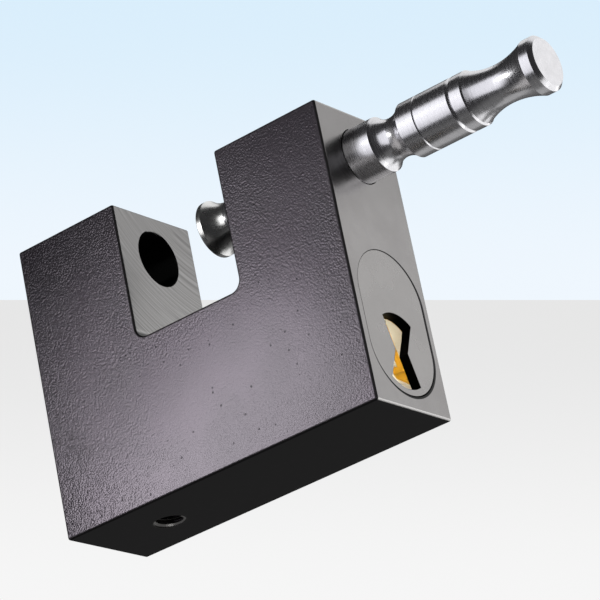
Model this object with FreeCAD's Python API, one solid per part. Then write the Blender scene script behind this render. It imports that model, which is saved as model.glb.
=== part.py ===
import FreeCAD, Part
import math
import os

V = FreeCAD.Vector
ALONG_X = V(1, 0, 0)
ALONG_Y = V(0, 1, 0)
ALONG_Z = V(0, 0, 1)

# Armoured block padlock with a sliding bolt. X runs along the bolt, Y from the front face to the back,
# Z up, and the origin is the middle of the block's bottom face. Sizes in millimetres.

# Block, with a gap between two towers
BLOCK_LENGTH = 95.0
BLOCK_DEPTH = 29.6
BLOCK_HEIGHT = 77.0
RIGHT_TOWER = 31.1
GAP_WIDTH = 32.5
GAP_DEPTH = 36.4
OUTER_CORNER = 0.65
GAP_CORNER = 3.0
FACE_EDGE = 0.6
MOUTH_CHAMFER = 0.15

# Bolt: a turned bar with two locking necks, a handling waist and a head
BOLT_RADIUS = 7.0
BOLT_FROM_TOP = 11.55
BOLT_CLEARANCE = 0.08
NECK_RADIUS = 5.07
NECK_HALF_LENGTH = 4.0
TIP_REACH = 14.35
HEAD_FLUSH = 1.25
WAIST_RADIUS = 4.9
WAIST_RUN_IN = 7.4
WAIST_RUN_OUT = 9.1
HEAD_LAND = 2.5
HEAD_CHAMFER = 1.0
SHOULDER_CHAMFER = 0.4

# Ring grooves, each with its distance from the waist, half width and depth
RINGS = ((14.2, 0.25, 0.2), (4.0, 0.5, 0.45))

# Bolt end: a flanged stop pressed into the tip
STOP_OVER_BOLT = 0.25
STOP_RIM = 1.4
STOP_ROUND = 0.3
TIP_NECK_RUN = 5.25
STUD_RADIUS = 3.0
STUD_LENGTH = 9.0
STOP_POCKET_CLEARANCE = 0.25
STOP_POCKET_SPARE = 0.2

# Keep hole in the left tower
KEEP_CLEARANCE = 0.15
KEEP_SPARE = 1.6

# Latch rod in the left tower, and the screw that closes its channel
LATCH_FROM_GAP = 11.3
LATCH_RADIUS = 3.3
LATCH_CLEARANCE = 0.08
LATCH_ENGAGEMENT = 1.3
LATCH_CHAMFER = 1.2
LATCH_FOOT_HEIGHT = 10.3
SCREW_RADIUS = 4.0
SCREW_CLEARANCE = 0.05
SCREW_RECESS = 2.6
SCREW_LENGTH = 7.0
SCREW_SOCKET_FLATS = 4.0
SCREW_SOCKET_DEPTH = 4.0

# Drive shaft between the plug and the latch rod
SHAFT_RADIUS = 4.2
SHAFT_CLEARANCE = 0.1
CRANK_OFFSET = 3.0
CRANK_RADIUS = 1.15
CRANK_REACH = 1.0
CRANK_PLAY = 0.1
LATCH_WEB = 2.1
TONGUE_THICKNESS = 2.4
TONGUE_LENGTH = 3.0
TONGUE_PLAY = 0.05

# Ball detent in the right tower
DETENT_FROM_GAP = 6.45
BALL_RADIUS = 3.0
BALL_CLEARANCE = 0.1
BALL_GAP = 0.03
DETENT_WIRE = 0.8
DETENT_COIL_RADIUS = 2.4
DETENT_TURNS = 4
DETENT_SEAT = 0.8
SPRING_GAP = 0.05

# Cylinder insert: hardened cover in front of a brass cartridge
INSERT_RADIUS = 12.3
INSERT_BOTTOM = 3.75
INSERT_HEIGHT = 36.75
INSERT_SIDE = -0.2
INSERT_CLEARANCE = 0.22
POCKET_SIDESTEP = 0.12
POCKET_DROP = 0.08
POCKET_WALL = 2.8
COVER_THICKNESS = 2.5
REAR_CLEARANCE = 0.3
RIVET_RADIUS = 1.25
RIVET_SPACING = 19.0
RIVET_BELOW_TOP = 14.05
RIVET_IN_COVER = 1.5
RIVET_IN_BODY = 5.0
CROSS_PIN_RADIUS = 1.5
CROSS_PIN_FROM_END = 9.0
CROSS_PIN_OVER_PLUG = 9.0
CROSS_PIN_LENGTH = 4.2
CROSS_PIN_RECESS = 0.15

# Keyhole in the cover, which sits a little askew over the plug
KEYHOLE_RADIUS = 9.65
KEYHOLE_WAIST = 4.8
KEYHOLE_HALF_ANGLE = 35.0
KEYHOLE_SIDE = -0.35
KEYHOLE_DROP = 0.15
KEYHOLE_LEAN = 4.5

# Plug
PLUG_HEIGHT = 15.0
PLUG_RADIUS = 9.0
PLUG_CLEARANCE = 0.05
PLUG_END_PLAY = 0.1
PLUG_TILT = 17.0
PLUG_TAIL_RADIUS = 5.0
PLUG_TAIL_LENGTH = 3.5
KEYWAY_LENGTH = 19.4
PLUG_END_WALL = 1.3
BLADE_WIDTH = 2.6
BLADE_OFFSET = 0.8
BLADE_TOP = 7.6
FOOT_RADIUS = 1.7
FOOT_LEFT = (-1.5, -4.4)
FOOT_RIGHT = (2.3, -5.9)

# Pin stacks
PIN_RADIUS = 1.35
PIN_CLEARANCE = 0.05
PIN_PITCH = 3.6
FIRST_PIN_FROM_FACE = 3.2
PIN_CUTS = (2, 4, 3, 5, 1)
SHORTEST_KEY_PIN = 5.7
CUT_STEP = 0.35
PIN_HOLE_DEPTH = 8.0
DRIVER_LENGTH = 4.5
PIN_GAP = 0.05
PIN_CONE = 0.5
PIN_SPRING_WIRE = 0.4
PIN_SPRING_TURNS = 3
CAP_WIDTH = 4.0
CAP_THICKNESS = 1.2
CAP_BELOW_TOP = 4.1

# How far a cutting shape runs past a surface, and how near two places count as the same one
OVERCUT = 1.0
SAME_PLACE = 0.01

# Places along X
LEFT_END = -BLOCK_LENGTH / 2
RIGHT_END = BLOCK_LENGTH / 2
GAP_RIGHT = RIGHT_END - RIGHT_TOWER
GAP_LEFT = GAP_RIGHT - GAP_WIDTH
LATCH_X = GAP_LEFT - LATCH_FROM_GAP
DETENT_X = GAP_RIGHT + DETENT_FROM_GAP
POCKET_END = GAP_RIGHT + POCKET_WALL
CARTRIDGE_REAR = POCKET_END + REAR_CLEARANCE
CARTRIDGE_FRONT = RIGHT_END - COVER_THICKNESS
PLUG_FRONT = CARTRIDGE_FRONT - PLUG_END_PLAY
FIRST_PIN_X = PLUG_FRONT - FIRST_PIN_FROM_FACE
KEYWAY_END = PLUG_FRONT - KEYWAY_LENGTH
PLUG_REAR = KEYWAY_END - PLUG_END_WALL
TAIL_END = PLUG_REAR - PLUG_TAIL_LENGTH
SHAFT_LEFT = LATCH_X + LATCH_RADIUS + LATCH_CLEARANCE + CRANK_PLAY
SHAFT_RIGHT = TAIL_END - TONGUE_PLAY
CRANK_END = LATCH_X - CRANK_REACH
TIP_END = GAP_RIGHT - TIP_REACH
TIP_NECK_X = TIP_END + STOP_RIM + TIP_NECK_RUN
BOLT_TRAVEL = DETENT_X - LATCH_X
CLOSING_TRAVEL = TIP_NECK_X - LATCH_X
OPENING_TRAVEL = BOLT_TRAVEL - CLOSING_TRAVEL
MAIN_NECK_X = TIP_NECK_X + BOLT_TRAVEL
WAIST_START = RIGHT_END + CLOSING_TRAVEL - HEAD_FLUSH
WAIST_MIDDLE = WAIST_START + WAIST_RUN_IN
WAIST_END = WAIST_MIDDLE + WAIST_RUN_OUT
HEAD_END = WAIST_END + HEAD_LAND + HEAD_CHAMFER

# Heights, and the stop's radius
STOP_RADIUS = BOLT_RADIUS + STOP_OVER_BOLT
GAP_FLOOR = BLOCK_HEIGHT - GAP_DEPTH
BOLT_Z = BLOCK_HEIGHT - BOLT_FROM_TOP
INSERT_LOW_CENTRE = INSERT_BOTTOM + INSERT_RADIUS
INSERT_TOP = INSERT_BOTTOM + INSERT_HEIGHT
INSERT_HIGH_CENTRE = INSERT_TOP - INSERT_RADIUS
BALL_Z = BOLT_Z - BOLT_RADIUS - BALL_GAP - BALL_RADIUS
CRANK_ANGLE = math.radians(PLUG_TILT)
CRANK_Y = -CRANK_OFFSET * math.cos(CRANK_ANGLE)
CRANK_Z = PLUG_HEIGHT - CRANK_OFFSET * math.sin(CRANK_ANGLE)
LATCH_TRAVEL = 2 * CRANK_OFFSET * math.sin(CRANK_ANGLE)
LATCH_TOP = BOLT_Z - BOLT_RADIUS + LATCH_ENGAGEMENT - LATCH_TRAVEL
HOLE_RADIUS = PIN_RADIUS + PIN_CLEARANCE
SHEAR_LINE = PLUG_RADIUS + PLUG_CLEARANCE / 2
CAP_SEAT = INSERT_TOP - CAP_BELOW_TOP - PLUG_HEIGHT
RIVET_HEIGHT = INSERT_TOP - RIVET_BELOW_TOP
CROSS_PIN_HEIGHT = PLUG_HEIGHT + CROSS_PIN_OVER_PLUG


def rod_x(radius, start, end, y=0.0, z=0.0):
    return Part.makeCylinder(radius, end - start, V(start, y, z), ALONG_X)


def rod_y(radius, start, end, x=0.0, z=0.0):
    return Part.makeCylinder(radius, end - start, V(x, start, z), ALONG_Y)


def rod_z(radius, start, end, x=0.0, y=0.0):
    return Part.makeCylinder(radius, end - start, V(x, y, start), ALONG_Z)


def cone_x(radius_start, radius_end, start, end, z=0.0):
    return Part.makeCone(radius_start, radius_end, end - start, V(start, 0, z), ALONG_X)


def prism_x(edges, start, end):
    face = Part.Face(Part.Wire(edges))
    face.translate(V(start, 0, 0))
    return face.extrude(V(end - start, 0, 0))


def stadium(radius, low, high, start, end, side):
    sides = [
        Part.LineSegment(V(0, -radius, low), V(0, -radius, high)).toShape(),
        Part.Arc(V(0, -radius, high), V(0, 0, high + radius), V(0, radius, high)).toShape(),
        Part.LineSegment(V(0, radius, high), V(0, radius, low)).toShape(),
        Part.Arc(V(0, radius, low), V(0, 0, low - radius), V(0, -radius, low)).toShape(),
    ]
    solid = prism_x(sides, start, end)
    solid.translate(V(0, side, 0))
    return solid


def tilted(shape, angle):
    leaning = shape.copy()
    leaning.rotate(V(0, 0, PLUG_HEIGHT), ALONG_X, angle)
    return leaning


def in_plug(shape):
    # The bolt is unlocked: the plug leans towards the front face
    return tilted(shape, PLUG_TILT)


def in_chamber(shape):
    # The chambers lean the other way, where the plug stands when the bolt is locked
    return tilted(shape, -PLUG_TILT)


def edges_along_y(shape, corners):
    found = []
    for edge in shape.Edges:
        middle = edge.CenterOfMass
        if edge.BoundBox.YLength < BLOCK_DEPTH - SAME_PLACE:
            continue
        for x, z in corners:
            if abs(middle.x - x) < SAME_PLACE and abs(middle.z - z) < SAME_PLACE:
                found.append(edge)
    return found


def edges_on_faces(shape):
    found = []
    for edge in shape.Edges:
        box = edge.BoundBox
        if box.YLength < SAME_PLACE and abs(abs(box.YMin) - BLOCK_DEPTH / 2) < SAME_PLACE:
            found.append(edge)
    return found


def pocket_x(radius, start, end, z, chamfer_side):
    # A bore along X whose mouth has a small chamfer at its start or end
    hole = rod_x(radius, start, end, 0, z)
    wide = radius + MOUTH_CHAMFER
    if chamfer_side > 0:
        return hole.fuse(cone_x(radius, wide, end - MOUTH_CHAMFER, end, z))
    return hole.fuse(cone_x(wide, radius, start, start + MOUTH_CHAMFER, z))


def make_body():
    block = Part.makeBox(BLOCK_LENGTH, BLOCK_DEPTH, BLOCK_HEIGHT, V(LEFT_END, -BLOCK_DEPTH / 2, 0))
    gap = Part.makeBox(GAP_WIDTH, BLOCK_DEPTH, GAP_DEPTH, V(GAP_LEFT, -BLOCK_DEPTH / 2, GAP_FLOOR))
    block = block.cut(gap)
    outer = [
        (LEFT_END, 0), (RIGHT_END, 0), (RIGHT_END, BLOCK_HEIGHT),
        (GAP_RIGHT, BLOCK_HEIGHT), (GAP_LEFT, BLOCK_HEIGHT), (LEFT_END, BLOCK_HEIGHT),
    ]
    block = block.makeFillet(OUTER_CORNER, edges_along_y(block, outer))
    floor_corners = [(GAP_LEFT, GAP_FLOOR), (GAP_RIGHT, GAP_FLOOR)]
    block = block.makeFillet(GAP_CORNER, edges_along_y(block, floor_corners))
    block = block.makeFillet(FACE_EDGE, edges_on_faces(block))

    bolt_bore = BOLT_RADIUS + BOLT_CLEARANCE
    stop_pocket = STOP_RADIUS + STOP_POCKET_CLEARANCE
    stop_pocket_end = TIP_END + OPENING_TRAVEL + STOP_RIM + STOP_POCKET_SPARE
    keep_end = TIP_END - CLOSING_TRAVEL - KEEP_SPARE
    channel = LATCH_RADIUS + LATCH_CLEARANCE
    screw_hole = SCREW_RADIUS + SCREW_CLEARANCE
    tunnel = SHAFT_RADIUS + SHAFT_CLEARANCE
    pocket = stadium(INSERT_RADIUS + INSERT_CLEARANCE, INSERT_LOW_CENTRE, INSERT_HIGH_CENTRE, POCKET_END,
                     RIGHT_END, INSERT_SIDE + POCKET_SIDESTEP)
    pocket.translate(V(0, 0, -POCKET_DROP))
    pin_hole_start = BLOCK_DEPTH / 2 - CROSS_PIN_RECESS - CROSS_PIN_LENGTH
    cuts = [
        pocket_x(bolt_bore, GAP_RIGHT, RIGHT_END, BOLT_Z, 1),
        pocket_x(stop_pocket, GAP_RIGHT, stop_pocket_end, BOLT_Z, -1),
        pocket_x(STOP_RADIUS + KEEP_CLEARANCE, keep_end, GAP_LEFT, BOLT_Z, 1),
        rod_z(channel, SCREW_RECESS, BOLT_Z, LATCH_X),
        rod_z(screw_hole, 0, SCREW_RECESS + SCREW_LENGTH, LATCH_X),
        rod_z(BALL_RADIUS + BALL_CLEARANCE, INSERT_HIGH_CENTRE, BOLT_Z, DETENT_X),
        rod_x(tunnel, CRANK_END - CRANK_PLAY, POCKET_END, 0, PLUG_HEIGHT),
        pocket,
        rod_y(CROSS_PIN_RADIUS, pin_hole_start, BLOCK_DEPTH / 2, RIGHT_END - CROSS_PIN_FROM_END,
              CROSS_PIN_HEIGHT),
    ]
    return block.cut(cuts)


def arc_at(start, middle, end):
    return Part.Arc(V(start[0], 0, start[1]), V(middle[0], 0, middle[1]), V(end[0], 0, end[1])).toShape()


def line_to(start, end):
    return Part.LineSegment(V(start[0], 0, start[1]), V(end[0], 0, end[1])).toShape()


def hollow(low, high, rising):
    # Arc that is level at the lowest point of a neck or waist and rises to its rim
    run = high[0] - low[0]
    rise = high[1] - low[1]
    radius = (run * run + rise * rise) / (2 * rise)
    half = math.asin(abs(run) / radius) / 2
    middle = (low[0] + math.copysign(radius * math.sin(half), run), low[1] + radius * (1 - math.cos(half)))
    if rising:
        return arc_at(low, middle, high)
    return arc_at(high, middle, low)


def spun(edges):
    # Closes a profile of edges, read from the axis out and back to it, and spins it about the bolt's axis
    face = Part.Face(Part.Wire(edges))
    solid = face.revolve(V(0, 0, 0), ALONG_X, 360)
    solid.translate(V(0, 0, BOLT_Z))
    return solid


def ring_groove(x, half_width, depth):
    return [
        (x - half_width, BOLT_RADIUS),
        (x, BOLT_RADIUS - depth),
        (x + half_width, BOLT_RADIUS),
    ]


def make_bolt():
    tip = (TIP_NECK_X, NECK_RADIUS)
    first_land = (TIP_NECK_X + NECK_HALF_LENGTH, BOLT_RADIUS)
    first_land_end = (MAIN_NECK_X - NECK_HALF_LENGTH, BOLT_RADIUS)
    main_neck = (MAIN_NECK_X, NECK_RADIUS)
    second_land = (MAIN_NECK_X + NECK_HALF_LENGTH, BOLT_RADIUS - SHOULDER_CHAMFER)
    rows = [
        (second_land[0] + SHOULDER_CHAMFER, BOLT_RADIUS),
    ]
    for offset, half_width, depth in RINGS:
        rows += ring_groove(WAIST_START - offset, half_width, depth)
    rows.append((WAIST_START - SHOULDER_CHAMFER, BOLT_RADIUS))
    waist_start = (WAIST_START, BOLT_RADIUS - SHOULDER_CHAMFER)
    waist = (WAIST_MIDDLE, WAIST_RADIUS)
    waist_end = (WAIST_END, BOLT_RADIUS)
    head_edge = (WAIST_END + HEAD_LAND, BOLT_RADIUS)
    head_face = (HEAD_END, BOLT_RADIUS - HEAD_CHAMFER)
    socket_end = (TIP_NECK_X + STUD_LENGTH, 0)
    edges = [
        line_to(socket_end, (TIP_NECK_X + STUD_LENGTH, STUD_RADIUS)),
        line_to((TIP_NECK_X + STUD_LENGTH, STUD_RADIUS), (TIP_NECK_X, STUD_RADIUS)),
        line_to((TIP_NECK_X, STUD_RADIUS), tip),
        hollow(tip, first_land, True),
        line_to(first_land, first_land_end),
        hollow(main_neck, first_land_end, False),
        hollow(main_neck, second_land, True),
    ]
    corners = [second_land] + rows + [waist_start]
    for here, there in zip(corners, corners[1:]):
        edges.append(line_to(here, there))
    edges += [
        hollow(waist, waist_start, False),
        hollow(waist, waist_end, True),
        line_to(waist_end, head_edge),
        line_to(head_edge, head_face),
        line_to(head_face, (HEAD_END, 0)),
        line_to((HEAD_END, 0), socket_end),
    ]
    return spun(edges)


def make_bolt_end():
    rim_start = TIP_END + STOP_ROUND
    rim_end = TIP_END + STOP_RIM
    corner = STOP_ROUND * (1 - math.sqrt(0.5))
    outer = STOP_RADIUS
    edges = [
        line_to((TIP_END, 0), (TIP_END, outer - STOP_ROUND)),
        arc_at((TIP_END, outer - STOP_ROUND), (TIP_END + corner, outer - corner), (rim_start, outer)),
        line_to((rim_start, outer), (rim_end, outer)),
        hollow((TIP_NECK_X, NECK_RADIUS), (rim_end, outer), False),
        line_to((TIP_NECK_X, NECK_RADIUS), (TIP_NECK_X, STUD_RADIUS)),
        line_to((TIP_NECK_X, STUD_RADIUS), (TIP_NECK_X + STUD_LENGTH, STUD_RADIUS)),
        line_to((TIP_NECK_X + STUD_LENGTH, STUD_RADIUS), (TIP_NECK_X + STUD_LENGTH, 0)),
        line_to((TIP_NECK_X + STUD_LENGTH, 0), (TIP_END, 0)),
    ]
    return spun(edges)


def make_latch_rod():
    rod = rod_z(LATCH_RADIUS, LATCH_FOOT_HEIGHT, LATCH_TOP, LATCH_X)
    rim = [edge for edge in rod.Edges if edge.BoundBox.ZMin > LATCH_TOP - SAME_PLACE]
    rod = rod.makeChamfer(LATCH_CHAMFER, rim)
    slot_half = CRANK_RADIUS + CRANK_PLAY
    slot_start = LATCH_X - LATCH_RADIUS + LATCH_WEB
    slot = Part.makeBox(2 * LATCH_RADIUS, 2 * LATCH_RADIUS, 2 * slot_half,
                        V(slot_start, -LATCH_RADIUS, CRANK_Z - slot_half))
    return rod.cut(slot)


def hexagon_prism(flats, bottom, height, x):
    corner = flats / math.sqrt(3)
    points = []
    for step in range(7):
        angle = math.radians(60 * step)
        points.append(V(x + corner * math.cos(angle), corner * math.sin(angle), bottom))
    return Part.Face(Part.makePolygon(points)).extrude(V(0, 0, height))


def make_set_screw():
    screw = rod_z(SCREW_RADIUS, SCREW_RECESS, SCREW_RECESS + SCREW_LENGTH, LATCH_X)
    return screw.cut(hexagon_prism(SCREW_SOCKET_FLATS, SCREW_RECESS, SCREW_SOCKET_DEPTH, LATCH_X))


def tongue(thickness, width, start, end):
    return Part.makeBox(end - start, width, thickness,
                        V(start, -width / 2, PLUG_HEIGHT - thickness / 2))


def make_drive_shaft():
    shaft = rod_x(SHAFT_RADIUS, SHAFT_LEFT, SHAFT_RIGHT, 0, PLUG_HEIGHT)
    crank = rod_x(CRANK_RADIUS, CRANK_END, SHAFT_LEFT, CRANK_Y, CRANK_Z)
    blade = tongue(TONGUE_THICKNESS, 2 * SHAFT_RADIUS, SHAFT_RIGHT, SHAFT_RIGHT + TONGUE_LENGTH)
    blade = blade.common(rod_x(SHAFT_RADIUS, SHAFT_RIGHT, SHAFT_RIGHT + TONGUE_LENGTH, 0, PLUG_HEIGHT))
    return shaft.fuse([crank, blade]).removeSplitter()


def coil(radius, wire, start, end, turns):
    # An upright coil of square-section wire between two heights
    half = wire / 2
    helix = Part.makeHelix((end - start - wire) / turns, end - start - wire, radius)
    corners = [
        V(radius - half, 0, -half), V(radius + half, 0, -half),
        V(radius + half, 0, half), V(radius - half, 0, half), V(radius - half, 0, -half),
    ]
    spring = Part.Wire(helix.Edges).makePipeShell([Part.makePolygon(corners)], True, True)
    spring.translate(V(0, 0, start + half))
    return spring


def make_detent_ball():
    return Part.makeSphere(BALL_RADIUS, V(DETENT_X, 0, BALL_Z))


def make_detent_spring():
    coil_bore = DETENT_COIL_RADIUS - DETENT_WIRE / 2
    top = BALL_Z - math.sqrt(BALL_RADIUS ** 2 - coil_bore ** 2) - SPRING_GAP
    bottom = INSERT_TOP - DETENT_SEAT + SPRING_GAP
    spring = coil(DETENT_COIL_RADIUS, DETENT_WIRE, bottom, top, DETENT_TURNS)
    spring.translate(V(DETENT_X, 0, 0))
    return spring


def keyhole_edges():
    angle = math.radians(KEYHOLE_HALF_ANGLE)
    side = KEYHOLE_RADIUS * math.sin(angle)
    rise = KEYHOLE_RADIUS * math.cos(angle)
    waist = KEYHOLE_WAIST / 2
    lean = math.radians(KEYHOLE_LEAN)

    def at(y, z):
        # The keyhole's top leans towards the back face
        return V(0, KEYHOLE_SIDE + y * math.cos(lean) + z * math.sin(lean),
                 PLUG_HEIGHT - KEYHOLE_DROP + z * math.cos(lean) - y * math.sin(lean))

    return [
        Part.LineSegment(at(waist, 0), at(side, rise)).toShape(),
        Part.Arc(at(side, rise), at(0, KEYHOLE_RADIUS), at(-side, rise)).toShape(),
        Part.LineSegment(at(-side, rise), at(-waist, 0)).toShape(),
        Part.LineSegment(at(-waist, 0), at(-side, -rise)).toShape(),
        Part.Arc(at(-side, -rise), at(0, -KEYHOLE_RADIUS), at(side, -rise)).toShape(),
        Part.LineSegment(at(side, -rise), at(waist, 0)).toShape(),
    ]


def rivets():
    found = []
    for side in (-1, 1):
        found.append(rod_x(RIVET_RADIUS, CARTRIDGE_FRONT - RIVET_IN_BODY, CARTRIDGE_FRONT + RIVET_IN_COVER,
                           side * RIVET_SPACING / 2, RIVET_HEIGHT))
    return found


def make_cylinder_cover():
    plate = stadium(INSERT_RADIUS, INSERT_LOW_CENTRE, INSERT_HIGH_CENTRE, CARTRIDGE_FRONT, RIGHT_END,
                    INSERT_SIDE)
    keyhole = prism_x(keyhole_edges(), CARTRIDGE_FRONT, RIGHT_END)
    return plate.cut([keyhole] + rivets())


def pin_places():
    return [FIRST_PIN_X - PIN_PITCH * number for number in range(len(PIN_CUTS))]


def cap_strip(extra_height=0.0):
    places = pin_places()
    start = places[-1] - CAP_WIDTH / 2
    end = places[0] + CAP_WIDTH / 2
    strip = Part.makeBox(end - start, CAP_WIDTH, CAP_THICKNESS + extra_height,
                         V(start, -CAP_WIDTH / 2, PLUG_HEIGHT + CAP_SEAT))
    return in_chamber(strip)


def make_cylinder_body():
    shell = stadium(INSERT_RADIUS, INSERT_LOW_CENTRE, INSERT_HIGH_CENTRE, CARTRIDGE_REAR, CARTRIDGE_FRONT,
                    INSERT_SIDE)
    plug_bore = PLUG_RADIUS + PLUG_CLEARANCE
    tail_bore = PLUG_TAIL_RADIUS + PLUG_CLEARANCE
    cross_pin_start = BLOCK_DEPTH / 2 - CROSS_PIN_RECESS - CROSS_PIN_LENGTH
    cuts = [
        rod_x(plug_bore, PLUG_REAR - PLUG_END_PLAY, CARTRIDGE_FRONT, 0, PLUG_HEIGHT),
        rod_x(tail_bore, CARTRIDGE_REAR, PLUG_REAR, 0, PLUG_HEIGHT),
        rod_z(BALL_RADIUS, INSERT_TOP - DETENT_SEAT, INSERT_TOP + DETENT_SEAT, DETENT_X),
        rod_y(CROSS_PIN_RADIUS, cross_pin_start, BLOCK_DEPTH / 2, RIGHT_END - CROSS_PIN_FROM_END,
              CROSS_PIN_HEIGHT),
        cap_strip(INSERT_RADIUS),
    ]
    for x in pin_places():
        chamber = rod_z(HOLE_RADIUS, PLUG_HEIGHT + PLUG_RADIUS - OVERCUT, PLUG_HEIGHT + CAP_SEAT, x)
        cuts.append(in_chamber(chamber))
    return shell.cut(cuts + rivets())


def keyway():
    # A narrow blade slot, set to one side, that runs into a slanted foot
    blade = Part.makeBox(PLUG_FRONT - KEYWAY_END, BLADE_WIDTH, BLADE_TOP - FOOT_LEFT[1],
                         V(KEYWAY_END, BLADE_OFFSET - BLADE_WIDTH / 2, PLUG_HEIGHT + FOOT_LEFT[1]))
    run = FOOT_RIGHT[0] - FOOT_LEFT[0]
    drop = FOOT_RIGHT[1] - FOOT_LEFT[1]
    length = math.hypot(run, drop)
    across = V(0, -drop / length * FOOT_RADIUS, run / length * FOOT_RADIUS)
    along = V(0, run / length * FOOT_RADIUS, drop / length * FOOT_RADIUS)
    left = V(0, FOOT_LEFT[0], PLUG_HEIGHT + FOOT_LEFT[1])
    right = V(0, FOOT_RIGHT[0], PLUG_HEIGHT + FOOT_RIGHT[1])
    outline = [
        Part.LineSegment(left + across, right + across).toShape(),
        Part.Arc(right + across, right + along, right - across).toShape(),
        Part.LineSegment(right - across, left - across).toShape(),
        Part.Arc(left - across, left - along, left + across).toShape(),
    ]
    return blade.fuse(prism_x(outline, KEYWAY_END, PLUG_FRONT))


def make_plug():
    barrel = rod_x(PLUG_RADIUS, PLUG_REAR, PLUG_FRONT, 0, PLUG_HEIGHT)
    tail = rod_x(PLUG_TAIL_RADIUS, TAIL_END, PLUG_REAR, 0, PLUG_HEIGHT)
    plug = barrel.fuse(tail)
    cuts = [keyway()]
    for x in pin_places():
        bottom = PLUG_HEIGHT + PLUG_RADIUS - PIN_HOLE_DEPTH
        cuts.append(rod_z(HOLE_RADIUS, bottom, PLUG_HEIGHT + PLUG_RADIUS + OVERCUT, x))
    slot_width = 2 * (SHAFT_RADIUS + TONGUE_PLAY)
    slot = tongue(TONGUE_THICKNESS + 2 * TONGUE_PLAY, slot_width, TAIL_END, TAIL_END + TONGUE_LENGTH)
    plug = in_plug(plug.cut(cuts))
    return plug.cut(slot)


def key_pin_length(cut):
    return SHORTEST_KEY_PIN + CUT_STEP * cut


def make_key_pin(number):
    x = pin_places()[number]
    length = key_pin_length(PIN_CUTS[number])
    top = PLUG_HEIGHT + SHEAR_LINE - PIN_GAP / 2
    bottom = top - length
    shank = rod_z(PIN_RADIUS, bottom + PIN_CONE, top, x)
    point = Part.makeCone(PIN_RADIUS - PIN_CONE, PIN_RADIUS, PIN_CONE, V(x, 0, bottom), ALONG_Z)
    pin = shank.fuse(point).common(rod_x(PLUG_RADIUS, PLUG_REAR, PLUG_FRONT, 0, PLUG_HEIGHT))
    return in_plug(pin)


def make_driver_pin(number):
    bottom = PLUG_HEIGHT + SHEAR_LINE + PIN_GAP / 2
    return in_chamber(rod_z(PIN_RADIUS, bottom, bottom + DRIVER_LENGTH, pin_places()[number]))


def make_pin_spring(number):
    bottom = PLUG_HEIGHT + SHEAR_LINE + PIN_GAP + DRIVER_LENGTH
    spring = coil(PIN_RADIUS - PIN_SPRING_WIRE / 2, PIN_SPRING_WIRE, bottom, PLUG_HEIGHT + CAP_SEAT - PIN_GAP,
                  PIN_SPRING_TURNS)
    spring.translate(V(pin_places()[number], 0, 0))
    return in_chamber(spring)


def make_cross_pin():
    end = BLOCK_DEPTH / 2 - CROSS_PIN_RECESS
    return rod_y(CROSS_PIN_RADIUS, end - CROSS_PIN_LENGTH, end, RIGHT_END - CROSS_PIN_FROM_END,
                 CROSS_PIN_HEIGHT)


def save(name, shape):
    shape.exportStep(os.path.join("parts", name + ".step"))
    print(name, shape.isValid(), len(shape.Solids), round(shape.Volume, 2))


def build():
    os.makedirs("parts", exist_ok=True)
    save("body", make_body())
    save("bolt", make_bolt())
    save("bolt_end", make_bolt_end())
    save("latch_rod", make_latch_rod())
    save("set_screw", make_set_screw())
    save("drive_shaft", make_drive_shaft())
    save("detent_ball", make_detent_ball())
    save("detent_spring", make_detent_spring())
    save("cylinder_cover", make_cylinder_cover())
    save("cover_rivets", Part.makeCompound(rivets()))
    save("cylinder_body", make_cylinder_body())
    save("chamber_cap", cap_strip())
    save("cylinder_cross_pin", make_cross_pin())
    save("plug", make_plug())
    for number in range(len(PIN_CUTS)):
        save("key_pin_%d" % (number + 1), make_key_pin(number))
        save("driver_pin_%d" % (number + 1), make_driver_pin(number))
        save("pin_spring_%d" % (number + 1), make_pin_spring(number))
    print("bolt closes by", round(CLOSING_TRAVEL, 3), "and opens by", round(OPENING_TRAVEL, 3))
    print("latch rod rises by", round(LATCH_TRAVEL, 4), "while the plug turns by", 2 * PLUG_TILT)


build()
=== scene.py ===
import math

import bmesh
import bpy
from mathutils import Matrix, Vector


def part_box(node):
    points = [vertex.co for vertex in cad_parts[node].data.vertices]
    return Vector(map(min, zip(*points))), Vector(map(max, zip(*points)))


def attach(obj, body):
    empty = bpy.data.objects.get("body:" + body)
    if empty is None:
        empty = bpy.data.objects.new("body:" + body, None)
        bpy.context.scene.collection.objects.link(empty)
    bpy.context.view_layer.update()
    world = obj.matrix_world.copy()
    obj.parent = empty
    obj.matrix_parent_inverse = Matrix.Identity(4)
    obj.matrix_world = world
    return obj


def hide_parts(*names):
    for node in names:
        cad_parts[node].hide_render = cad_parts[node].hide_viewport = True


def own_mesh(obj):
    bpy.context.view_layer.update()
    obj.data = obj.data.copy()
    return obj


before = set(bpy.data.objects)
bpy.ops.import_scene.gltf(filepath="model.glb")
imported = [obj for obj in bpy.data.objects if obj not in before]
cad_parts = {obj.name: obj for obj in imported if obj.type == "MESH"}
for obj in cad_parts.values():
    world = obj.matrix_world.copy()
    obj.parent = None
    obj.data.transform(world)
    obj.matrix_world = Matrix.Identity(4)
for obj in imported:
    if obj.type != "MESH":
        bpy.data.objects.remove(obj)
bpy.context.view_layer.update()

MM = 0.001

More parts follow.
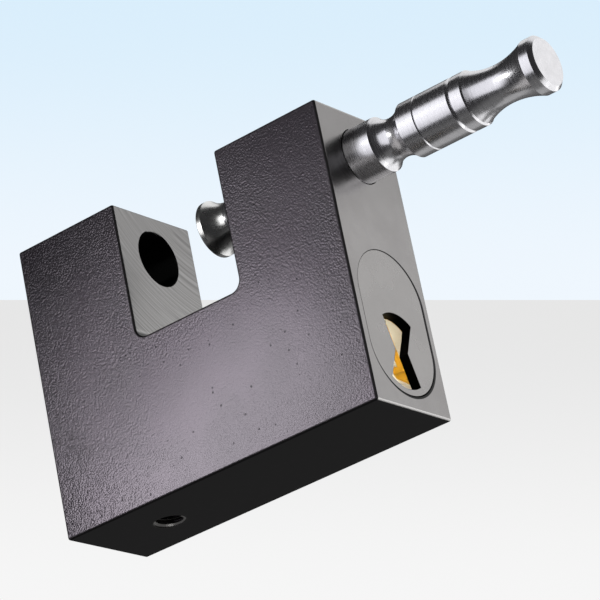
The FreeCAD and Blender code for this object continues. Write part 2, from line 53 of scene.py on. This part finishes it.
# Places that the patterns follow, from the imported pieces
BLOCK_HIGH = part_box("body")[1]
SCREW_LOW, SCREW_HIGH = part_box("set_screw")
BOLT_LOW, BOLT_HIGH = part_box("bolt")
SCREW_AXIS = (SCREW_LOW.x + SCREW_HIGH.x) / 2
BOLT_AXIS = (BOLT_LOW.z + BOLT_HIGH.z) / 2
BORE_REACH = 7.7 * MM
GAP_LEFT = -16.1 * MM
GAP_RIGHT = 16.4 * MM
GAP_FLOOR = 40.6 * MM
EDGE_BAND = 0.70 * MM
MILL_CENTRE = (0.0, 27.5 * MM, 106.6 * MM)
INSERT_RADIUS = 12.3 * MM
INSERT_SIDE = -0.2 * MM
INSERT_LOW_CENTRE = 16.05 * MM
INSERT_HIGH_CENTRE = 28.20 * MM

# Grain of the coat, which is finest round this place on the broad faces and coarser towards the towers
# The coat is also painted darker away from this place, as painted shade where the light falls off towards
# the towers
SMOOTH_BRIGHT_PLACE = (14.0 * MM, 0.0, 8.0 * MM)
PEBBLES_PER_METRE = 2100.0
SHAKES_PER_METRE = 2300.0
SHAKE = (0.22 * MM,) * 3
PITS_PER_METRE = 640.0
GRAIN_DEPTH = 0.048 * MM

# Thread in the screw's hole
THREAD_ROOT = 4.09 * MM
THREAD_CREST = 3.42 * MM
THREAD_PITCH = 1.25 * MM
THREAD_TURNS = 2.2
STEPS_A_TURN = 40
MOUTH_EDGE = 0.12 * MM
SCREW_CLEARANCE = 0.04 * MM

# Springs: the pin chambers, and how near points merge in their copies
PIN_CHAMBERS = 5
MERGE_DISTANCE = 0.0005 * MM

# Camera of the photograph: a long lens below and to the front right, rolled
CAMERA_PLACE = Vector((0.42972, -0.61259, -0.26439))
CAMERA_RIGHT = Vector((0.77298, 0.606256, -0.186966))
CAMERA_UP = Vector((0.374693, -0.198434, 0.905665))
CAMERA_LENS = 200.76
SENSOR = 36.0
NEAREST = 0.01
FARTHEST = 2000.0
FLOOR_DEPTH = 1.5
FLOOR_REACH = 1200.0

UPRIGHT = Vector((0.0, 0.0, 1.0))
WHITE = (1.0, 1.0, 1.0)


# Nodes

def rgba(colour):
    # A colour of three parts gets its fourth; a socket stays as it is
    return colour if isinstance(colour, bpy.types.NodeSocket) else (*colour, 1.0)


def darker(colour, share):
    return tuple(part * share for part in colour)


def add(tree, kind, inputs=None, **settings):
    # A new node; each input takes a number, a colour or another node's socket
    made = tree.nodes.new(kind)
    for key, value in settings.items():
        setattr(made, key, value)
    for key, value in (inputs or {}).items():
        if isinstance(value, bpy.types.NodeSocket):
            tree.links.new(value, made.inputs[key])
        else:
            made.inputs[key].default_value = value
    return made


def maths(tree, operation, first, second=0.0):
    return add(tree, "ShaderNodeMath", {0: first, 1: second}, operation=operation).outputs[0]


def product(tree, first, *others):
    for other in others:
        first = maths(tree, "MULTIPLY", first, other)
    return first


def above(tree, value, limit):
    return maths(tree, "GREATER_THAN", value, limit)


def under(tree, value, limit):
    return maths(tree, "LESS_THAN", value, limit)


def ranged(tree, value, low, high, to_low=0.0, to_high=1.0):
    made = add(tree, "ShaderNodeMapRange", {
        "Value": value, "From Min": low, "From Max": high, "To Min": to_low, "To Max": to_high,
    }, interpolation_type="SMOOTHSTEP")
    return made.outputs["Result"]


def mixed(tree, share, first, second):
    made = add(tree, "ShaderNodeMix", {0: share, 6: rgba(first), 7: rgba(second)}, data_type="RGBA")
    return made.outputs[2]


def mixed_value(tree, share, first, second):
    made = add(tree, "ShaderNodeMix", {0: share, 2: first, 3: second}, data_type="FLOAT")
    return made.outputs[0]


def object_point(tree):
    return add(tree, "ShaderNodeTexCoord").outputs["Object"]


def object_normal(tree):
    return add(tree, "ShaderNodeTexCoord").outputs["Normal"]


def parts_of(tree, vector):
    split = add(tree, "ShaderNodeSeparateXYZ", {0: vector})
    return split.outputs[0], split.outputs[1], split.outputs[2]


def stretched(tree, point, scale):
    return add(tree, "ShaderNodeMapping", {"Vector": point, "Scale": scale}).outputs[0]


def distance_from(tree, point, centre, axes):
    # Distance from a centre, along the axes that are 1
    made = add(tree, "ShaderNodeVectorMath", {0: stretched(tree, point, axes), 1: centre},
               operation="DISTANCE")
    return made.outputs["Value"]


def share_along(tree, direction, axis):
    made = add(tree, "ShaderNodeVectorMath", {0: direction, 1: axis}, operation="DOT_PRODUCT")
    return made.outputs["Value"]


def noise(tree, point, scale, detail=2.0, roughness=0.5):
    made = add(tree, "ShaderNodeTexNoise", {
        "Vector": point, "Scale": scale, "Detail": detail, "Roughness": roughness,
    })
    return made.outputs[0]


def line_noise(tree, place, scale, detail=2.0):
    # Noise along one line, for rings and strokes
    made = add(tree, "ShaderNodeTexNoise", {"W": place, "Scale": scale, "Detail": detail},
               noise_dimensions="1D")
    return made.outputs[0]


def bump(tree, height, depth):
    return add(tree, "ShaderNodeBump", {"Height": height, "Distance": depth}).outputs[0]


def metal(name, colour, roughness, metallic=1.0):
    # A metal with an even colour; patterns are linked over it afterwards
    material = bpy.data.materials.new(name)
    material.use_nodes = True
    tree = material.node_tree
    shader = tree.nodes["Principled BSDF"]
    shader.inputs["Base Color"].default_value = rgba(colour)
    shader.inputs["Roughness"].default_value = roughness
    shader.inputs["Metallic"].default_value = metallic
    return material, tree, shader


def feed(tree, shader, **sockets):
    for key, socket in sockets.items():
        tree.links.new(socket, shader.inputs[key.replace("_", " ")])


# The block's finish

def block_places(tree, place, normal):
    # Where each finish of the block lies, as shares from 0 to 1
    x, _, z = place
    nx, ny, nz = normal
    facing_side = maths(tree, "ABSOLUTE", nx)
    facing_front = maths(tree, "ABSOLUTE", ny)
    off_front = ranged(tree, facing_front, 0.30, 0.22)
    at_end = above(tree, maths(tree, "ABSOLUTE", x), BLOCK_HIGH.x - EDGE_BAND)
    flat_end = product(tree, ranged(tree, facing_side, 0.30, 0.40), off_front, at_end)
    gap = product(tree, above(tree, x, GAP_LEFT - EDGE_BAND), under(tree, x, GAP_RIGHT + EDGE_BAND),
                  above(tree, z, GAP_FLOOR - 0.05 * MM))
    return {
        "broad": ranged(tree, facing_front, 0.90, 0.985),
        "gap": gap,
        "bare": maths(tree, "MAXIMUM", flat_end, product(tree, gap, off_front)),
        "lower_edge_glint": product(tree, ranged(tree, nz, -0.15, -0.30),
                              ranged(tree, z, 0.75 * MM, 0.55 * MM), flat_end),
        "top": product(tree, ranged(tree, nz, 0.60, 0.90), above(tree, z, BLOCK_HIGH.z - 1.0 * MM)),
    }


def joint_shadow_line(tree, x, y, z):
    # Painted black shadow line where the pocket's broken edge stands off the insert, widest low on the back
    # side
    middle = add(tree, "ShaderNodeClamp", {"Value": z, "Min": INSERT_LOW_CENTRE, "Max": INSERT_HIGH_CENTRE})
    rise = maths(tree, "SUBTRACT", z, middle.outputs[0])
    rise = maths(tree, "ADD", rise, 0.20 * MM)
    across = maths(tree, "SUBTRACT", y, INSERT_SIDE + 0.36 * MM)
    squares = maths(tree, "ADD", product(tree, rise, rise), product(tree, across, across))
    away = maths(tree, "POWER", squares, 0.5)
    near = ranged(tree, away, INSERT_RADIUS + 0.56 * MM, INSERT_RADIUS + 0.48 * MM)
    return product(tree, near, above(tree, x, BLOCK_HIGH.x - 0.2 * MM))


def coat(tree, point, z, places):
    # Black-purple oxide with a pebbled grain and a few pits on the two broad faces, painted darker away
    # from their brightest place as painted shade; smooth elsewhere, painted near-black underneath as
    # painted shade and a lighter black on top; gives its colour, roughness, metal share and relief
    shakes = add(tree, "ShaderNodeTexNoise", {"Vector": point, "Scale": SHAKES_PER_METRE, "Detail": 2.0})
    shaken = add(tree, "ShaderNodeVectorMath", {0: shakes.outputs["Color"], 1: SHAKE, 2: point},
                 operation="MULTIPLY_ADD").outputs[0]
    pebbles = add(tree, "ShaderNodeTexVoronoi", {
        "Vector": shaken, "Scale": PEBBLES_PER_METRE, "Smoothness": 0.25,
    }, feature="SMOOTH_F1").outputs["Distance"]
    uneven = ranged(tree, noise(tree, point, 700.0), 0.40, 0.62, 0.62, 1.0)
    grain = product(tree, maths(tree, "SUBTRACT", 0.6, pebbles), uneven)
    patch = noise(tree, point, 38.0)
    from_bright_place = distance_from(tree, point, SMOOTH_BRIGHT_PLACE, (1.0, 0.0, 1.0))
    pits = add(tree, "ShaderNodeTexVoronoi", {"Vector": point, "Scale": PITS_PER_METRE})
    few = above(tree, parts_of(tree, pits.outputs["Color"])[0], 0.88)
    pit = product(tree, ranged(tree, pits.outputs["Distance"], 0.20, 0.09), few, places["broad"])

    oxide = mixed(tree, ranged(tree, patch, 0.25, 0.75), (0.163, 0.139, 0.168), (0.157, 0.140, 0.163))
    # Painted shade: the oxide darkens away from the smooth, brightest place on the broad faces, where the
    # light falls off towards the towers
    oxide = mixed(tree, ranged(tree, from_bright_place, 49.0 * MM, 92.0 * MM), oxide, (0.054, 0.046, 0.058))
    oxide = mixed(tree, product(tree, pit, 0.55), oxide, (0.02, 0.018, 0.022))
    # Painted shade: off the broad faces the coat is painted near-black, far darker than their oxide; the
    # top is a lighter black
    black = mixed(tree, noise(tree, point, 420.0), (0.028, 0.027, 0.028), (0.034, 0.033, 0.034))
    black = mixed(tree, places["top"], black, (0.15, 0.14, 0.152))
    colour = mixed(tree, places["broad"], black, oxide)

    # Painted highlight: a lighter ring round the screw's hole underneath, where its chamfer catches the
    # light
    from_screw = distance_from(tree, point, (SCREW_AXIS, 0.0, 0.0), (1.0, 1.0, 0.0))
    hole_rim_glint = product(tree, ranged(tree, from_screw, 4.42 * MM, 4.34 * MM), under(tree, z, 0.05 * MM))
    colour = mixed(tree, hole_rim_glint, colour, (0.050, 0.049, 0.048))

    rough = mixed_value(tree, places["broad"], 0.46, ranged(tree, patch, 0.3, 0.7, 0.215, 0.240))
    shiny = mixed_value(tree, maths(tree, "MAXIMUM", places["broad"], places["top"]), 1.0, 0.45)
    height = product(tree, grain, ranged(tree, patch, 0.35, 0.65, 0.75, 1.1),
                     ranged(tree, from_bright_place, 18.0 * MM, 62.0 * MM, 0.30, 1.6))
    height = maths(tree, "SUBTRACT", height, product(tree, pit, 0.6))
    return colour, rough, shiny, product(tree, height, places["broad"])


def bare_steel(tree, point, place, nz, places):
    # Arcs left by the face mill in the gap, and the fine ground finish of the ends; gives the colour,
    # roughness and relief
    x, y, z = place
    from_centre = distance_from(tree, point, MILL_CENTRE, (0.0, 1.0, 1.0))
    fine_arcs = line_noise(tree, from_centre, 3200.0, 3.0)
    wide_arcs = line_noise(tree, from_centre, 900.0)
    arcs = mixed_value(tree, ranged(tree, noise(tree, point, 60.0), 0.35, 0.65), wide_arcs, fine_arcs)
    mottle = noise(tree, point, 90.0, 3.0, 0.6)
    ground = noise(tree, stretched(tree, point, (1.0, 0.25, 1.0)), 2600.0)

    milled = mixed(tree, ranged(tree, arcs, 0.25, 0.70), (0.19, 0.186, 0.185), (0.37, 0.365, 0.36))
    # Painted shade: the milled face darkens towards the top
    milled = mixed(tree, ranged(tree, z, 45.0 * MM, 77.0 * MM, 0.0, 0.40), milled, (0.16, 0.157, 0.156))
    # Painted shade: near-black where the milled steel turns to face upward, in the fillet at the gap's
    # floor and on the floor
    milled = mixed(tree, ranged(tree, nz, 0.10, 0.50), milled, (0.05, 0.05, 0.05))
    end = mixed(tree, ranged(tree, mottle, 0.3, 0.7), (0.282, 0.272, 0.270), (0.322, 0.313, 0.310))
    # Painted shade: the end face darkens towards the top
    end = mixed(tree, ranged(tree, z, 40.0 * MM, 72.0 * MM, 0.0, 0.6), end, (0.19, 0.185, 0.183))
    colour = mixed(tree, places["gap"], end, milled)
    colour = mixed(tree, joint_shadow_line(tree, x, y, z), colour, (0.004, 0.004, 0.004))
    # Painted highlight: a light line along the rounded lower edge of the ends
    colour = mixed(tree, places["lower_edge_glint"], colour, (0.50, 0.49, 0.485))

    rough = mixed_value(tree, places["gap"], ranged(tree, mottle, 0.3, 0.7, 0.21, 0.26), 0.36)
    relief = mixed_value(tree, places["gap"], product(tree, ground, 0.008), product(tree, arcs, 0.12))
    return colour, rough, relief


def coated_block():
    # The coat, and bare steel where the ends and the gap were cut
    material, tree, shader = metal("block_oxide_and_milled_steel", (0.12, 0.105, 0.122), 0.33)
    point = object_point(tree)
    place = parts_of(tree, point)
    normal = parts_of(tree, object_normal(tree))
    places = block_places(tree, place, normal)
    bare = places["bare"]
    coat_colour, coat_rough, coat_shiny, coat_relief = coat(tree, point, place[2], places)
    steel_colour, steel_rough, steel_relief = bare_steel(tree, point, place, normal[2], places)

    # Inside the bores painted near-black as painted shade, and made dull
    inside = under(tree, distance_from(tree, point, (0.0, 0.0, BOLT_AXIS), (0.0, 1.0, 1.0)), BORE_REACH)
    bore = product(tree, inside, maths(tree, "SUBTRACT", 1.0, bare))
    coat_colour = mixed(tree, bore, coat_colour, (0.006, 0.006, 0.006))
    rough = mixed_value(tree, bore, mixed_value(tree, bare, coat_rough, steel_rough), 0.85)

    feed(tree, shader, Base_Color=mixed(tree, bare, coat_colour, steel_colour), Roughness=rough,
         Metallic=mixed_value(tree, bare, coat_shiny, 1.0),
         Normal=bump(tree, mixed_value(tree, bare, coat_relief, steel_relief), GRAIN_DEPTH))
    return material


# The other finishes

def turned(name, colour, roughness, ring_depth):
    # Rings left by the tool round a bar that lies along X
    material, tree, shader = metal(name, colour, roughness)
    point = object_point(tree)
    rings = line_noise(tree, parts_of(tree, point)[0], 2600.0)
    brushed = noise(tree, stretched(tree, point, (9.0, 1.0, 1.0)), 420.0, 3.0, 0.6)
    streaks = product(tree, ranged(tree, brushed, 0.3, 0.7), ranged(tree, rings, 0.3, 0.7, 0.4, 1.0))
    feed(tree, shader, Base_Color=mixed(tree, streaks, darker(colour, 0.86), colour),
         Roughness=ranged(tree, rings, 0.3, 0.7, roughness - 0.03, roughness + 0.03),
         Normal=bump(tree, rings, ring_depth))
    return material


def plain_metal(name, colour, roughness, grain_size, relief=0.01 * MM):
    # A metal with a fine even grain and slight clouding
    material, tree, shader = metal(name, colour, roughness)
    point = object_point(tree)
    clouds = noise(tree, point, 120.0, 3.0, 0.6)
    shade = mixed(tree, ranged(tree, clouds, 0.3, 0.7), darker(colour, 0.92), colour)
    feed(tree, shader, Base_Color=shade,
         Roughness=ranged(tree, clouds, 0.3, 0.7, roughness - 0.02, roughness + 0.02),
         Normal=bump(tree, noise(tree, point, 1.0 / grain_size), relief))
    return material


def faced_metal_painted_light(name, face, walls, roughness, wall_roughness, metallic=1.0):
    # A piece whose flat end is one colour and whose cut walls are another, painted with the light or shade
    # each shows
    material, tree, shader = metal(name, face, roughness, metallic)
    point = object_point(tree)
    side = maths(tree, "ABSOLUTE", parts_of(tree, object_normal(tree))[0])
    clouds = ranged(tree, noise(tree, point, 110.0, 3.0, 0.6), 0.3, 0.7)
    flat = ranged(tree, side, 0.90, 0.98)
    face_shade = mixed(tree, clouds, darker(face, 0.92), face)
    wall_shade = mixed(tree, clouds, darker(walls, 0.85), walls)
    face_roughness = ranged(tree, clouds, 0.0, 1.0, roughness, roughness + 0.04)
    feed(tree, shader, Base_Color=mixed(tree, flat, wall_shade, face_shade),
         Roughness=mixed_value(tree, flat, wall_roughness, face_roughness),
         Normal=bump(tree, noise(tree, point, 3000.0), 0.002 * MM))
    return material


FINISHES = {
    "coated_steel": coated_block(),
    "turned_steel": turned("turned_bolt_steel", (0.82, 0.815, 0.84), 0.255, 0.00035 * MM),
    "bright_steel": plain_metal("bright_plated_steel", (0.84, 0.84, 0.83), 0.28, 0.8 * MM, 0.002 * MM),
    "inner_steel": plain_metal("ground_inner_steel", (0.50, 0.50, 0.52), 0.32, 0.3 * MM),
    "black_steel": plain_metal("blackened_screw_steel", (0.10, 0.10, 0.105), 0.35, 0.3 * MM),
    "spring_steel": plain_metal("drawn_spring_steel", (0.55, 0.55, 0.57), 0.28, 0.3 * MM),
    # The cover's cut walls round the keyhole are painted near-black as painted shade
    "satin_steel": faced_metal_painted_light("satin_cover_steel", (0.345, 0.335, 0.330), (0.010, 0.009, 0.008),
                               0.25, 0.5),
    "brass": plain_metal("machined_brass", (0.90, 0.66, 0.28), 0.26, 0.4 * MM),
}
# The plug's face is painted pale cream as a painted highlight, and its keyway's walls deep gold as painted
# light bouncing in the slot
PLUG_BRASS = faced_metal_painted_light("plug_brass", (1.0, 0.88, 0.64), (0.80, 0.40, 0.03), 0.20, 0.40, 0.35)
NODE_FINISH = {
    "body": "coated_steel",
    "bolt": "turned_steel",
    "bolt_end": "bright_steel",
    "set_screw": "black_steel",
    "cylinder_cover": "satin_steel",
    "cylinder_body": "brass",
}


def finish_of(name):
    if name == "plug":
        return PLUG_BRASS
    if "spring" in name:
        return FINISHES["spring_steel"]
    if name.startswith("key_pin"):
        return FINISHES["brass"]
    return FINISHES[NODE_FINISH.get(name, "inner_steel")]


def finish_nodes():
    for name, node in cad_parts.items():
        if not node.material_slots:
            node.data.materials.append(finish_of(name))
        for slot in node.material_slots:
            slot.material = finish_of(name)


# Pieces

def linked(name, data):
    made = bpy.data.objects.new(name, data)
    bpy.context.scene.collection.objects.link(made)
    return made


def cut_off(shape, height, **side):
    # Cuts a shape level at a height and closes the cut
    cut = bmesh.ops.bisect_plane(shape, geom=shape.verts[:] + shape.edges[:] + shape.faces[:],
                                 plane_co=(0.0, 0.0, height), plane_no=UPRIGHT, **side)
    edges = [item for item in cut["geom_cut"] if isinstance(item, bmesh.types.BMEdge)]
    bmesh.ops.holes_fill(shape, edges=edges, sides=0)


def screw_thread():
    # One ridge wound up the screw's hole, from its mouth to the screw
    thread = bmesh.new()
    profile = [thread.verts.new((radius, 0.0, THREAD_PITCH * share)) for radius, share in (
        (THREAD_ROOT, 0.0), (THREAD_ROOT, 0.84), (THREAD_CREST, 0.50), (THREAD_CREST, 0.34),
    )]
    edges = [thread.edges.new(ends) for ends in zip(profile, profile[1:] + profile[:1])]
    thread.faces.new(profile)
    wound = bmesh.ops.spin(thread, geom=profile + edges, cent=(0.0, 0.0, 0.0), axis=UPRIGHT,
                           dvec=(0.0, 0.0, THREAD_PITCH / STEPS_A_TURN),
                           angle=2 * math.pi * THREAD_TURNS, steps=round(STEPS_A_TURN * THREAD_TURNS))
    last = [item for item in wound["geom_last"] if isinstance(item, bmesh.types.BMVert)]
    bmesh.ops.contextual_create(thread, geom=last)
    bmesh.ops.translate(thread, verts=thread.verts, vec=(SCREW_AXIS, 0.0, -0.25 * THREAD_PITCH))
    cut_off(thread, MOUTH_EDGE, clear_inner=True)
    cut_off(thread, SCREW_LOW.z - SCREW_CLEARANCE, clear_outer=True)
    bmesh.ops.recalc_face_normals(thread, faces=thread.faces)
    mesh = bpy.data.meshes.new("screw_hole_thread")
    thread.to_mesh(mesh)
    thread.free()
    mesh.materials.append(plain_metal("cut_thread_steel", (0.42, 0.41, 0.40), 0.28, 0.3 * MM))
    piece = linked("screw_hole_thread", mesh)
    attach(piece, "lock_body")
    return piece


def pressed_spring(name):
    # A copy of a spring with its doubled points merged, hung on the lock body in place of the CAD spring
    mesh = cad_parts[name].data.copy()
    coil = bmesh.new()
    coil.from_mesh(mesh)
    bmesh.ops.remove_doubles(coil, verts=coil.verts, dist=MERGE_DISTANCE)
    coil.to_mesh(mesh)
    coil.free()
    piece = linked(name + "_coil", mesh)
    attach(piece, "lock_body")
    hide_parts(name)
    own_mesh(piece)


# Camera, backdrop and lights

def axes_matrix(right, up, back, place):
    turn = Matrix((right, up, back)).transposed().to_4x4()
    return Matrix.Translation(place) @ turn


def make_camera():
    lens = bpy.data.cameras.new("photo_camera")
    lens.lens = CAMERA_LENS
    lens.sensor_width = SENSOR
    lens.clip_start = NEAREST
    lens.clip_end = FARTHEST
    camera = linked("photo_camera", lens)
    camera.matrix_world = axes_matrix(CAMERA_RIGHT, CAMERA_UP, CAMERA_RIGHT.cross(CAMERA_UP), CAMERA_PLACE)
    bpy.context.scene.camera = camera


def backdrop_colour(tree, direction):
    # Pale blue above the photograph's horizon and pale grey below it
    rise = share_along(tree, direction, CAMERA_UP)
    sky = mixed(tree, ranged(tree, rise, 0.0, 0.095), (0.863, 0.927, 0.991), (0.700, 0.855, 0.974))
    floor = mixed(tree, ranged(tree, rise, 0.0, -0.09), (0.795, 0.795, 0.795), (0.920, 0.920, 0.920))
    return mixed(tree, above(tree, rise, 0.0), floor, sky)


def make_world():
    # The backdrop for the eye, and a dim studio for reflections
    world = bpy.data.worlds.new("studio_surround")
    world.use_nodes = True
    tree = world.node_tree
    tree.nodes.clear()
    direction = add(tree, "ShaderNodeTexCoord").outputs["Generated"]
    seen = backdrop_colour(tree, direction)
    below = share_along(tree, direction, (-0.2, 0.5, -0.85))
    dim = mixed(tree, ranged(tree, below, 0.25, 0.75), (0.028, 0.028, 0.029), (0.145, 0.145, 0.145))
    shown = add(tree, "ShaderNodeLightPath").outputs["Is Camera Ray"]
    back = add(tree, "ShaderNodeBackground", {"Color": mixed(tree, shown, dim, seen), "Strength": 1.0})
    add(tree, "ShaderNodeOutputWorld", {"Surface": back.outputs[0]})
    bpy.context.scene.world = world


def pale_floor():
    # Meets the backdrop unseen, because it shows the backdrop's colour in the same direction
    material = bpy.data.materials.new("pale_floor")
    material.use_nodes = True
    tree = material.node_tree
    tree.nodes.clear()
    away = add(tree, "ShaderNodeVectorMath", {0: object_point(tree), 1: CAMERA_PLACE}, operation="SUBTRACT")
    direction = add(tree, "ShaderNodeVectorMath", {0: away.outputs[0]}, operation="NORMALIZE")
    colour = backdrop_colour(tree, direction.outputs[0])
    glow = add(tree, "ShaderNodeEmission", {"Color": colour, "Strength": 1.0})
    add(tree, "ShaderNodeOutputMaterial", {"Surface": glow.outputs[0]})
    return material


def make_floor():
    # Plain pale floor, level in the photograph and far below the lock
    floor = bmesh.new()
    bmesh.ops.create_grid(floor, x_segments=1, y_segments=1, size=FLOOR_REACH)
    across = CAMERA_RIGHT.normalized()
    turn = axes_matrix(across, CAMERA_UP.cross(across), CAMERA_UP, CAMERA_UP * -FLOOR_DEPTH)
    bmesh.ops.transform(floor, matrix=turn, verts=floor.verts)
    mesh = bpy.data.meshes.new("studio_floor")
    floor.to_mesh(mesh)
    floor.free()
    mesh.materials.append(pale_floor())
    piece = linked("studio_floor", mesh)
    piece.visible_diffuse = False
    piece.visible_glossy = False
    piece.visible_shadow = False
    piece.visible_transmission = False


def hang(name, data, aim, direction, distance, colour, only_on, roll=0.0):
    # Hangs a lamp along a direction from its aim, with its width level before its roll. Flags keep its
    # light on the pieces of only_on, where there are any: CAD nodes by name, other pieces themselves.
    data.color = colour
    lamp = linked(name, data)
    back = Vector(direction).normalized()
    right = Matrix.Rotation(math.radians(roll), 3, back) @ UPRIGHT.cross(back).normalized()
    lamp.matrix_world = axes_matrix(right, back.cross(right), back, Vector(aim) + back * distance)
    lamp.visible_camera = False
    if only_on:
        lit = bpy.data.collections.new(name + "_lit")
        for piece in only_on:
            lit.objects.link(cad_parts[piece] if isinstance(piece, str) else piece)
        lamp.light_linking.receiver_collection = lit


def soft_light(name, aim, direction, distance, size, brightness, only_on=(), colour=WHITE, roll=0.0):
    # A rectangular soft box that looks as bright from any distance
    data = bpy.data.lights.new(name, "AREA")
    data.shape = "RECTANGLE"
    data.size, data.size_y = size
    data.energy = brightness * math.pi * data.size * data.size_y
    hang(name, data, aim, direction, distance, colour, only_on, roll)


def narrow_spot(name, aim, direction, distance, cone, power, only_on, colour):
    # A spot that reaches one small place, and sends no glints on to the pieces round it
    data = bpy.data.lights.new(name, "SPOT")
    data.energy = power
    data.spot_size = math.radians(cone)
    data.spot_blend = 0.5
    data.shadow_soft_size = 0.03
    data.cycles.max_bounces = 0
    hang(name, data, aim, direction, distance, colour, only_on)


def photo_lights(thread):
    # What each metal mirrors in the photograph
    soft_light("front_softbox", (0.0, -0.0145, 0.0), (-0.574, -0.80, 0.366), 0.335, (0.122, 0.052), 5.5,
               roll=42.5)
    soft_light("side_softbox", (0.080, 0.0, 0.065), (-0.50, -0.83, 0.14), 0.34, (0.075, 0.30), 0.30)
    soft_light("bolt_softbox", (0.240, 0.0, 0.065), (-0.54, -0.84, 0.02), 0.34, (0.34, 0.34), 1.0,
               ("bolt",), (1.0, 1.0, 1.05))
    soft_light("tip_softbox", (0.009, 0.0, 0.065), (-0.56, -0.82, 0.08), 0.30, (0.26, 0.22), 1.3,
               ("bolt_end",))
    soft_light("rim_softbox", (0.070, 0.0, 0.065), (-0.53, 0.50, -0.68), 0.50, (0.35, 0.30), 0.30,
               ("bolt",))
    soft_light("head_softbox", (0.100, 0.0, 0.065), (0.60, 0.27, -0.65), 0.50, (0.24, 0.20), 1.1,
               ("bolt",))
    soft_light("back_softbox", (0.0475, 0.0, 0.015), (0.5385, 0.7751, 0.3303), 0.50, (0.55, 0.44), 1.0)
    soft_light("overhead_softbox", (0.0, 0.0, 0.040), (0.1, 0.5, 0.85), 0.70, (0.70, 0.70), 0.90)
    soft_light("low_back_softbox", (0.0, 0.0, 0.030), (0.47, 0.83, -0.30), 0.55, (0.60, 0.36), 1.0)
    soft_light("floor_bounce", (0.06, 0.0, 0.06), (0.36, 0.40, -0.83), 0.50, (0.32, 0.28), 0.9,
               ("bolt", "bolt_end"))
    narrow_spot("keyway_spot", (0.045, -0.001, 0.0145), (0.53, -0.76, -0.375), 0.45, 2.6, 160.0,
                ("plug", "cylinder_body"), (1.0, 0.96, 0.90))
    soft_light("thread_light", (SCREW_AXIS, 0.0, 0.0), (-0.10, 0.0, -0.98), 0.45, (0.10, 0.10), 1.1,
               (thread,))


def side_fills():
    # Fills for the sides that the photograph doesn't show
    for name, direction, size, brightness in (
        ("end_fill", (0.88, -0.30, -0.36), (0.50, 0.42), 2.0),
        ("front_fill", (-0.06, -0.93, -0.36), (0.45, 0.26), 0.40),
        ("left_fill", (-0.80, -0.48, -0.36), (0.40, 0.24), 0.80),
        ("top_fill", (0.66, -0.66, 0.34), (0.45, 0.40), 0.60),
    ):
        soft_light(name, (0.0, 0.0, 0.035), direction, 0.55, size, brightness, ("body", "cylinder_cover"))


finish_nodes()
hole_thread = screw_thread()
for number in range(1, PIN_CHAMBERS + 1):
    pressed_spring(f"pin_spring_{number}")
pressed_spring("detent_spring")
make_camera()
make_world()
make_floor()
photo_lights(hole_thread)
side_fills()
bpy.context.scene.view_settings.view_transform = "Standard"
